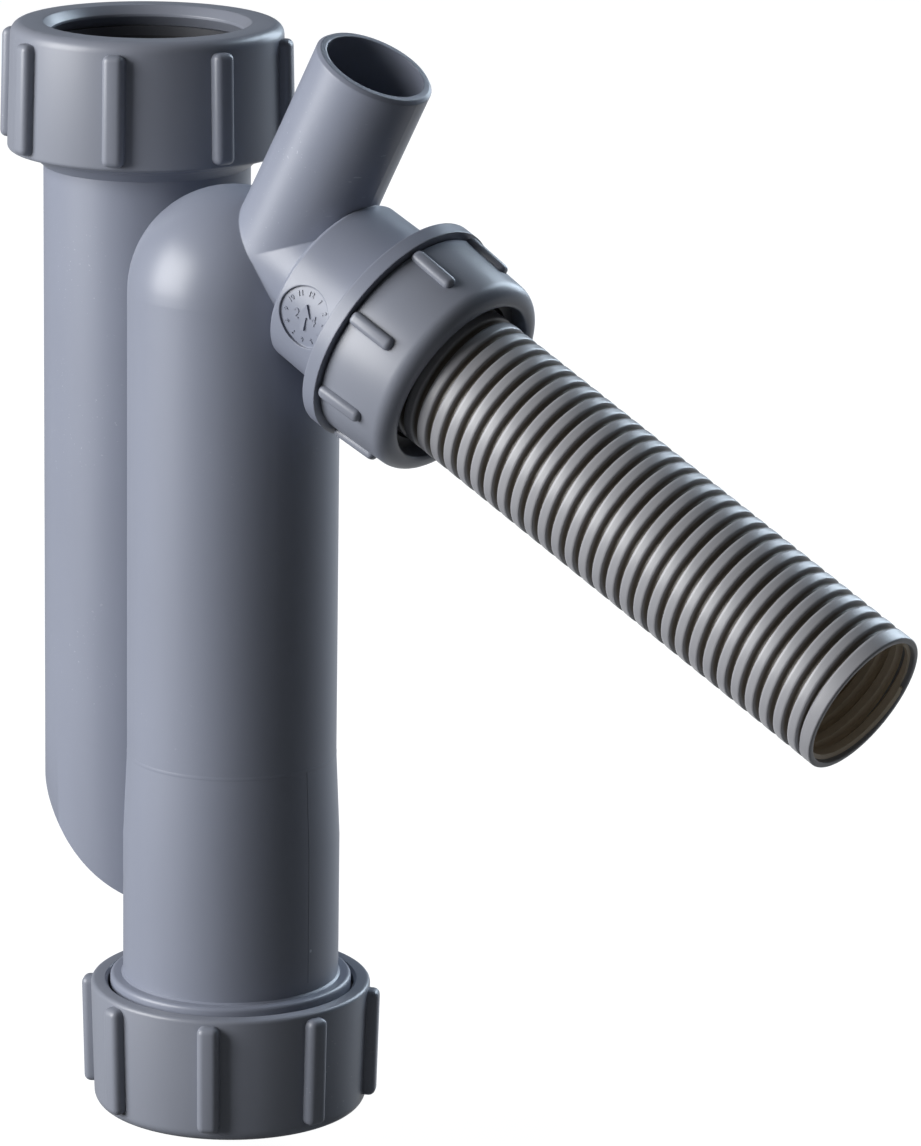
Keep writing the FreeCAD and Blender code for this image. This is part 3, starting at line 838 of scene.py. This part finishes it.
class TRAP_OT_stage(bpy.types.Operator):
    """Set up the white floor, the soft lights and the camera"""

    bl_idname = "trap.stage"
    bl_label = "Set the stage"

    def execute(self, context):
        scene = context.scene
        scene.view_settings.view_transform = "Standard"
        self.floor(scene)
        self.surroundings(scene)
        self.light("key", (-1.5, 0.26, 0.63), wide=1.2, high=1.1, power=49.0)
        self.light("rim", (1.25, 0.62, 0.66), wide=0.6, high=0.9, power=15.0, tint=(0.74, 0.87, 1.0))
        self.light("window", (1.15, 0.2, 1.09), wide=0.3, high=0.3, power=4.0, tint=(0.7, 0.85, 1.0))
        self.camera(scene)
        return {"FINISHED"}

    def white(self, tree, direction, mirrored):
        """Share of white by the kind of ray: full for the camera, and less for reflections.

        For reflections the studio is pale behind the trap and dark in front of it.
        """
        path = tree.nodes.new("ShaderNodeLightPath")
        ahead = node(tree, "ShaderNodeVectorMath", {"operation": "DOT_PRODUCT"}, _0=direction, _1=BEHIND)
        pale = eased(tree, ahead.outputs["Value"], low=0.4, high=0.95, start=0.06, end=0.6)
        glossy = calc(tree, "MULTIPLY", path.outputs["Is Glossy Ray"], pale)
        glossy = calc(tree, "MULTIPLY", glossy, mirrored)
        seen = calc(tree, "MAXIMUM", path.outputs["Is Camera Ray"], glossy)
        return calc(tree, "MAXIMUM", seen, path.outputs["Is Transmission Ray"])

    def floor(self, scene):
        start_new()
        bpy.ops.mesh.primitive_plane_add(size=8.0, location=(0, 0, -FLOOR_GAP))
        floor = named("floor")
        bpy.ops.object.transform_apply(location=True, rotation=True, scale=True)
        edit_all()
        bpy.ops.mesh.subdivide(number_cuts=3)
        bpy.ops.object.mode_set(mode="OBJECT")
        material, tree, shader = shaded("white paper")
        tree.nodes.remove(shader)
        away = node(tree, "ShaderNodeVectorMath", {"operation": "NORMALIZE"}, _0=object_place(tree))
        seen, paper_white = self.white(tree, away.outputs[0], mirrored=1.0), 0.94
        glow = node(tree, "ShaderNodeEmission", Strength=calc(tree, "MULTIPLY", seen, paper_white))
        paper = node(tree, "ShaderNodeBsdfDiffuse", Color=(*scene.trap_colours.backdrop, 1))
        both = node(tree, "ShaderNodeAddShader", _0=glow.outputs[0], _1=paper.outputs[0])
        tree.links.new(both.outputs[0], tree.nodes["Material Output"].inputs["Surface"])
        dress(floor, material)

    def surroundings(self, scene):
        """White world for the camera, pale behind the trap for reflections, and dim for the light on it."""
        world = bpy.data.worlds.new("studio")
        world.use_nodes = True
        tree = world.node_tree
        direction = tree.nodes.new("ShaderNodeTexCoord").outputs["Generated"]
        seen, dim = self.white(tree, direction, mirrored=0.3), 0.07
        tree.links.new(calc(tree, "MAXIMUM", seen, dim), tree.nodes["Background"].inputs["Strength"])
        tree.nodes["Background"].inputs["Color"].default_value = (1, 1, 1, 1)
        scene.world = world

    def light(self, name, place, wide, high, power, tint=(1, 1, 1)):
        """Area light that faces the middle of the trap."""
        start_new()
        bpy.ops.object.light_add(type="AREA", location=place)
        lamp = named(name)
        lamp.data.shape = "RECTANGLE"
        lamp.data.size, lamp.data.size_y = wide, high
        lamp.data.energy = power
        lamp.data.color = tint
        lamp.rotation_euler = (LIGHTS_FACE - Vector(place)).to_track_quat("-Z", "Y").to_euler()

    def camera(self, scene):
        """Camera at the photograph's angle, fitted to its 921 by 1146 frame."""
        aim = Vector((42.7, -20.8, 116.2)) * MM
        azimuth, elevation, roll = math.radians(-26.0), math.radians(14.51), math.radians(0.85)
        distance, focal_px, frame_px, sensor = 1.2366, 5931.0, 1146.0, 36.0
        back = Vector((math.sin(azimuth) * math.cos(elevation), -math.cos(azimuth) * math.cos(elevation),
                       math.sin(elevation)))
        side = Vector((0, 0, 1)).cross(back).normalized()
        right = side * math.cos(roll) + back.cross(side) * math.sin(roll)
        start_new()
        bpy.ops.object.camera_add(location=aim + back * distance)
        camera = named("camera")
        camera.rotation_mode = "QUATERNION"
        camera.rotation_quaternion = Matrix((right, back.cross(right), back)).transposed().to_quaternion()
        camera.data.sensor_width = sensor
        camera.data.lens = focal_px / frame_px * sensor
        camera.data.clip_end = 20.0
        scene.camera = camera


class TRAP_PT_panel(bpy.types.Panel):
    """Lists the trap's pieces in the sidebar"""

    bl_label = "Waste Trap"
    bl_idname = "TRAP_PT_panel"
    bl_space_type = "VIEW_3D"
    bl_region_type = "UI"
    bl_category = "Waste Trap"

    def draw(self, context):
        for operator in OPERATORS:
            self.layout.operator(operator.bl_idname)
        for settings in (context.scene.trap_sizes, context.scene.trap_colours):
            for label in settings.__annotations__:
                self.layout.prop(settings, label)


OPERATORS = (TRAP_OT_mouldings, TRAP_OT_foot, TRAP_OT_large_nuts, TRAP_OT_hose_nut, TRAP_OT_hose,
             TRAP_OT_threads, TRAP_OT_date_dial, TRAP_OT_mould_lines, TRAP_OT_stage)
CLASSES = (TrapSizes, TrapColours, *OPERATORS, TRAP_PT_panel)


def register():
    for each in CLASSES:
        bpy.utils.register_class(each)
    bpy.types.Scene.trap_sizes = PointerProperty(type=TrapSizes)
    bpy.types.Scene.trap_colours = PointerProperty(type=TrapColours)


def unregister():
    del bpy.types.Scene.trap_colours
    del bpy.types.Scene.trap_sizes
    for each in reversed(CLASSES):
        bpy.utils.unregister_class(each)


def main():
    register()
    bpy.ops.trap.mouldings()
    bpy.ops.trap.foot()
    bpy.ops.trap.large_nuts()
    bpy.ops.trap.hose_nut()
    bpy.ops.trap.hose()
    bpy.ops.trap.threads()
    bpy.ops.trap.date_dial()
    bpy.ops.trap.mould_lines()
    bpy.ops.trap.stage()


if __name__ == "__main__":
    main()
